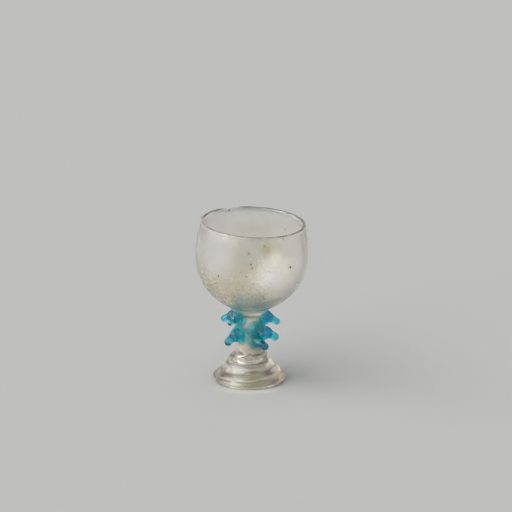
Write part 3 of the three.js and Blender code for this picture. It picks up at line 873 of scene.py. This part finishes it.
def thick_glass():
    """The foot's thread: thick soda glass, grey over its depth, with brown and dull streaks drawn
    out along its turns, a few seeds, and bright where it is polished."""
    material, tree, output = new_material("wound_thread_glass")
    shader = glass_shader(tree, output, 1.0, 40, "#cec890")
    place = place_in_mm(tree)
    fine = streaks(tree, place, 2.8, 1.5)
    dull = add(tree, "MapRange", {"Value": fine, "From Min": 0.57, "From Max": 0.6}).outputs[0]
    broad = streaks(tree, place, 0.8, 1.1)
    brown = add(tree, "MapRange", {
        "Value": broad, "From Min": 0.57, "From Max": 0.61}).outputs[0]
    colour = tinted(tree, linear("#fffefc"), (
        (patches(tree, place, THREAD_BROWN, 0.7), "#a5978c"),
        (patches(tree, place, THREAD_OLIVE, 0.7), "#e2e0c6"),
        (dull, "#c6c0b7"), (brown, "#a89986"), (seeds(tree, place, 2.0), "#6b6250"),
    ))
    tree.links.new(colour, shader.inputs["Base Color"])
    rough = add(tree, "Math", {0: dull, 1: 0.05, 2: 0.01}, operation="MULTIPLY_ADD").outputs[0]
    tree.links.new(rough, shader.inputs["Roughness"])
    ridges = add(tree, "Bump", {"Height": fine, "Strength": 0.3, "Distance": 0.0003}).outputs[0]
    tree.links.new(ridges, shader.inputs["Normal"])
    return material


def turquoise_glass():
    """Copper turquoise glass: pale where it is thin at its margins and tips, deep in the middle of a
    bead, with a slightly rippled skin and a few seeds."""
    material, tree, output = new_material("turquoise_prunt_glass")
    shader = glass_shader(tree, output, 1.0, 1400, "#00f5fa")
    # Set to mirror less of the room than the clear glass does, which keeps the blue deep
    shader.inputs["IOR"].default_value = 1.43
    shader.inputs["Specular IOR Level"].default_value = 0.4
    place = place_in_mm(tree)
    cloud = add(tree, "TexNoise", {"Vector": place, "Scale": 0.7, "Detail": 3.0}).outputs["Fac"]
    faded = add(tree, "MapRange", {"Value": cloud, "From Min": 0.45, "From Max": 0.65}).outputs[0]
    # The beads are deeper than their thin margins on the stem and their drawn tips
    away = from_axis(tree, place)[1]
    deep = within(tree, away, DEEP_BEAD)
    tip = add(tree, "MapRange", {"Value": away, "From Min": 7.0, "From Max": 8.0}).outputs[0]
    colour = tinted(tree, linear("#ffffff"), (
        (faded, "#dff3f2"), (deep, "#8ce0ea"), (tip, "#f6e0e4"),
        (seeds(tree, place, 1.6), "#4f93a0"),
    ))
    tree.links.new(colour, shader.inputs["Base Color"])
    rough = add(tree, "Math", {0: faded, 1: 0.08, 2: 0.03}, operation="MULTIPLY_ADD").outputs[0]
    tree.links.new(rough, shader.inputs["Roughness"])
    ripple = add(tree, "Bump", {"Height": cloud, "Strength": 0.3, "Distance": 0.0005}).outputs[0]
    tree.links.new(ripple, shader.inputs["Normal"])
    return material


def bore_crust():
    """Lime and fine soil dried onto the wall of the hollow stem: a dull cream crust, mottled browner
    in clouds a few millimetres across, browner towards its lower edge, and grey at its top as painted
    shade under the bowl."""
    material, tree, output = new_material("dry_lime_crust")
    place = place_in_mm(tree)
    cloud = clouds(tree, place, 0.45, 5.0, 0.38, 0.66)
    grain = clouds(tree, place, 3.0, 3.0, 0.5, 0.75)
    rise = add(tree, "SeparateXYZ", {0: place}).outputs["Z"]
    soil = add(tree, "MapRange", {"Value": rise, "From Min": 13.5, "From Max": 10.0}).outputs[0]
    # Painted shade: the crust's top, under the bowl, is painted grey
    painted_shade = add(tree, "MapRange", {"Value": rise, "From Min": 19.3, "From Max": 20.2}).outputs[0]
    colour = tinted(tree, linear("#fffcf6"), (
        (cloud, "#f4ede2"), (soil, "#e8dcc8"), (painted_shade, "#acaea4"), (grain, "#d8cbb5")))
    shader = add(tree, "BsdfPrincipled", {"Base Color": colour, "Roughness": 0.9})
    tree.links.new(shader.outputs["BSDF"], output.inputs["Surface"])
    return material


def dry_dirt(name, colours, pattern, roughness):
    """Matt dirt of two colours that change over in clouds."""
    material, tree, output = new_material(name)
    tone = clouds(tree, place_in_mm(tree), *pattern)
    colour = tinted(tree, linear(colours[0]), ((tone, colours[1]),))
    shader = add(tree, "BsdfPrincipled", {"Base Color": colour, "Roughness": roughness})
    tree.links.new(shader.outputs["BSDF"], output.inputs["Surface"])
    return material


# Pieces

clear_glass = weathered_glass()
thread_glass = thick_glass()
blue_glass = turquoise_glass()
# Specks and curls of lime on the bowl: matt, cream, here and there a warmer tan
flaked_lime = dry_dirt("flaked_lime", ("#f6f0de", "#dccfab"), (0.9, 2.0, 0.4, 0.62), 0.85)
# Dark grains of soil that stay stuck to the bowl: matt, brown-black, some of them browner
dark_soil = dry_dirt("dark_soil", ("#2b2418", "#665a42"), (1.3, 3.0, 0.42, 0.6), 0.8)

glass = skin_mesh("bowl_and_stem_glass", bowl_and_stem_rings(GLASS_SIDES))
new_piece(in_metres(glass), clear_glass, "clear_glass", "bowl", "stem")

rng = np.random.default_rng(SPECK_SEED)
speck_turns, speck_heights = scattered(rng, SPECKS)
# Most specks are small and few are large
speck_sizes = SPECK_LEAST + SPECK_MORE * rng.uniform(0, 1, len(speck_turns)) ** 3
line_turns, line_heights, line_sizes = placed([], LIME_LINES)
lime = speck_points(
    rng, np.r_[speck_turns, line_turns], np.r_[speck_heights, line_heights],
    np.r_[speck_sizes, line_sizes])
new_piece(in_metres(speck_mesh("bowl_lime_specks", lime)), flaked_lime, "clear_glass")
soil = speck_points(rng, *placed(SOIL, SOIL_LINES))
new_piece(in_metres(speck_mesh("bowl_soil_specks", soil)), dark_soil, "clear_glass")

crust = skin_mesh("stem_bore_crust", crust_rings(CRUST_SIDES))
new_piece(in_metres(crust), bore_crust(), "clear_glass")

thread = skin_mesh("foot_thread_glass", thread_rings(THREAD_STEPS, THREAD_SIDES))
foot = melted(thread, FOOT_GRAIN, FOOT_PASSES)
new_piece(in_metres(foot), thread_glass, "thread_glass", "foot_thread")

for node_name, shares in PRUNT_SHARES.items():
    prunt = skin_mesh(node_name + "_glass", prunt_rings(shares, PRUNT_STEPS, PRUNT_SIDES))
    new_piece(in_metres(prunt), blue_glass, "blue_glass", node_name)

# Floor: a matt board, in metres, and a paler ring painted in front: painted light where the glass
# gathers light onto it

FLOOR_HALF = 6.0
BOARD_COLOUR = "#bebebc"
corners = [(x * FLOOR_HALF, y * FLOOR_HALF, 0) for x, y in ((-1, -1), (1, -1), (1, 1), (-1, 1))]
floor_mesh = bpy.data.meshes.new("floor")
floor_mesh.from_pydata(corners, [], [(0, 1, 2, 3)])
floor = new_object("floor", floor_mesh)
board, tree, output = new_material("matt_grey_board")
place = place_in_mm(tree)
# Painted light: a paler ring on the board in front of the foot, standing in for light the glass
# gathers
far = add(tree, "VectorMath", {0: place, 1: (AXIS_X, AXIS_Y, 0)}, operation="DISTANCE")
painted_caustic_light = add(tree, "MapRange", {
    "Value": far.outputs["Value"], "From Min": 15.5, "From Max": 11.5,
}, interpolation_type="SMOOTHSTEP").outputs[0]
front = add(tree, "SeparateXYZ", {0: place}).outputs["Y"]
front = add(tree, "MapRange", {"Value": front, "From Min": -6.0, "From Max": -11.0}).outputs[0]
painted_caustic_light = add(tree, "Math", {0: painted_caustic_light, 1: front}, operation="MULTIPLY").outputs[0]
paint = tinted(tree, linear(BOARD_COLOUR), ((painted_caustic_light, "#d0cfc8"),))
diffuse = add(tree, "BsdfDiffuse", {"Color": paint})
tree.links.new(diffuse.outputs[0], output.inputs["Surface"])
floor_mesh.materials.append(board)

# Light and camera


def panel(tree, direction, azimuth, rise, half_width, half_height, softness):
    """How much of a flat soft light lies in a direction: 1 on the panel, 0 off it, with a soft edge.
    The direction is divided by its part along the panel's middle, which flattens the panel to a
    plane."""
    a, e = math.radians(azimuth), math.radians(rise)
    middle = (-math.sin(a) * math.cos(e), -math.cos(a) * math.cos(e), math.sin(e))
    sideways = (-math.cos(a), math.sin(a), 0)
    upwards = (math.sin(a) * math.sin(e), math.cos(a) * math.sin(e), math.cos(e))
    parts = [
        add(tree, "VectorMath", {0: direction, 1: axis}, operation="DOT_PRODUCT").outputs["Value"]
        for axis in (middle, sideways, upwards)]
    depth = add(tree, "Math", {0: parts[0], 1: 0.001}, operation="MAXIMUM").outputs[0]
    masks = []
    for part, half in zip(parts[1:], (half_width, half_height)):
        flat = add(tree, "Math", {0: part, 1: depth}, operation="DIVIDE").outputs[0]
        size = add(tree, "Math", {0: flat}, operation="ABSOLUTE").outputs[0]
        masks.append(add(tree, "MapRange", {
            "Value": size, "From Min": half + softness, "From Max": half - softness,
        }, interpolation_type="SMOOTHSTEP").outputs[0])
    return add(tree, "Math", {0: masks[0], 1: masks[1]}, operation="MULTIPLY").outputs[0]


# Soft panels: degrees from the front towards the viewer's left, degrees up, half width and half
# height at a distance of 1, softness of the edge, and strength. The first two light everything
LIGHT_PANELS = (
    (71, 30, 0.87, 0.5, 0.15, 1.0),  # left
    (60, 66, 0.5, 0.45, 0.2, 0.9),  # above
)
# These show in the glass only
GLASS_PANELS = (
    (-78, 22, 0.8, 0.5, 0.25, 1.0),  # right
    (62, 18, 0.13, 0.18, 0.03, 7.0),  # a small bright window on the left
    (-8, 22, 1.1, 0.6, 0.4, 0.6),  # front
    (150, 12, 0.42, 0.6, 0.15, 0.3),  # behind on the left
    (-150, 12, 0.42, 0.6, 0.15, 0.3),  # behind on the right
)
# Strength of the light panels and of the pale tent all round: on the floor, and in the glass, where
# the tent is darker in what the glass mirrors than in what it lets through
FLOOR_GAIN, GLASS_GAIN = 1.7, 3.2
FLOOR_TENT, MIRRORED_TENT, SEEN_THROUGH_TENT = 0.42, 0.26, 0.52


def panels(tree, direction, table):
    """The sum of a table's panels, each by its strength."""
    total = 0.0
    for *shape, strength in table:
        mask = panel(tree, direction, *shape)
        total = add(tree, "Math", {
            0: mask, 1: strength, 2: total}, operation="MULTIPLY_ADD").outputs[0]
    return total


# World: the camera sees an even grey, and the panels and the tent light the rest
world = bpy.data.worlds.new("studio")
bpy.context.scene.world = world
world.use_nodes = True
tree = world.node_tree
tree.nodes.clear()
direction = add(tree, "TexCoord").outputs["Generated"]
path = add(tree, "LightPath").outputs
in_glass = add(tree, "Math", {
    0: path["Is Glossy Ray"], 1: path["Is Transmission Ray"]}, operation="MAXIMUM").outputs[0]
gain = add(tree, "MapRange", {
    "Value": in_glass, "To Min": FLOOR_GAIN, "To Max": GLASS_GAIN}).outputs[0]
glass_tent = add(tree, "MapRange", {
    "Value": path["Is Transmission Ray"],
    "To Min": MIRRORED_TENT, "To Max": SEEN_THROUGH_TENT}).outputs[0]
tent = add(tree, "MapRange", {
    "Value": in_glass, "To Min": FLOOR_TENT, "To Max": glass_tent}).outputs[0]
light = tent
for table, share in ((LIGHT_PANELS, gain), (GLASS_PANELS, in_glass)):
    light = add(tree, "Math", {
        0: panels(tree, direction, table), 1: share, 2: light}, operation="MULTIPLY_ADD").outputs[0]
room = add(tree, "Background", {"Color": (1, 1, 1, 1), "Strength": light})
backdrop = add(tree, "Background", {"Color": linear(BOARD_COLOUR)})
seen = add(tree, "MixShader", {
    0: path["Is Camera Ray"], 1: room.outputs[0], 2: backdrop.outputs[0]})
add(tree, "OutputWorld", {"Surface": seen.outputs[0]})

# The photograph's view: from a little above, far away with a long lens
VIEW_RISE = math.radians(17.5)
FOCAL_PIXELS = 3500
FRAME_PIXELS = 512
MM_PER_PIXEL = 48 / 164.5
SEEN_AT = (249.0, 300.6)  # where the photograph shows the middle of the glass
MIDDLE_HEIGHT = 24
SENSOR_WIDTH = 36
back = Vector((0, -math.cos(VIEW_RISE), math.sin(VIEW_RISE)))
right = Vector((1, 0, 0))
up = Vector((0, math.sin(VIEW_RISE), math.cos(VIEW_RISE)))
middle = Vector((AXIS_X, AXIS_Y, MIDDLE_HEIGHT))
eye = middle + back * FOCAL_PIXELS * MM_PER_PIXEL
half_frame = FRAME_PIXELS / 2
aim = middle + (right * (half_frame - SEEN_AT[0]) + up * (SEEN_AT[1] - half_frame)) * MM_PER_PIXEL
camera_data = bpy.data.cameras.new("camera")
camera_data.sensor_width = SENSOR_WIDTH
camera_data.lens = SENSOR_WIDTH * FOCAL_PIXELS / FRAME_PIXELS
camera = new_object("camera", camera_data)
camera.location = eye * MM
camera.rotation_euler = (aim - eye).to_track_quat("-Z", "Y").to_euler()
bpy.context.scene.camera = camera
bpy.context.scene.view_settings.view_transform = "Standard"
# Light runs a long way inside the walls of a glass before it leaves them
LIGHT_BOUNCES = 40
for kind in ("max_bounces", "glossy_bounces", "transmission_bounces"):
    setattr(bpy.context.scene.cycles, kind, LIGHT_BOUNCES)
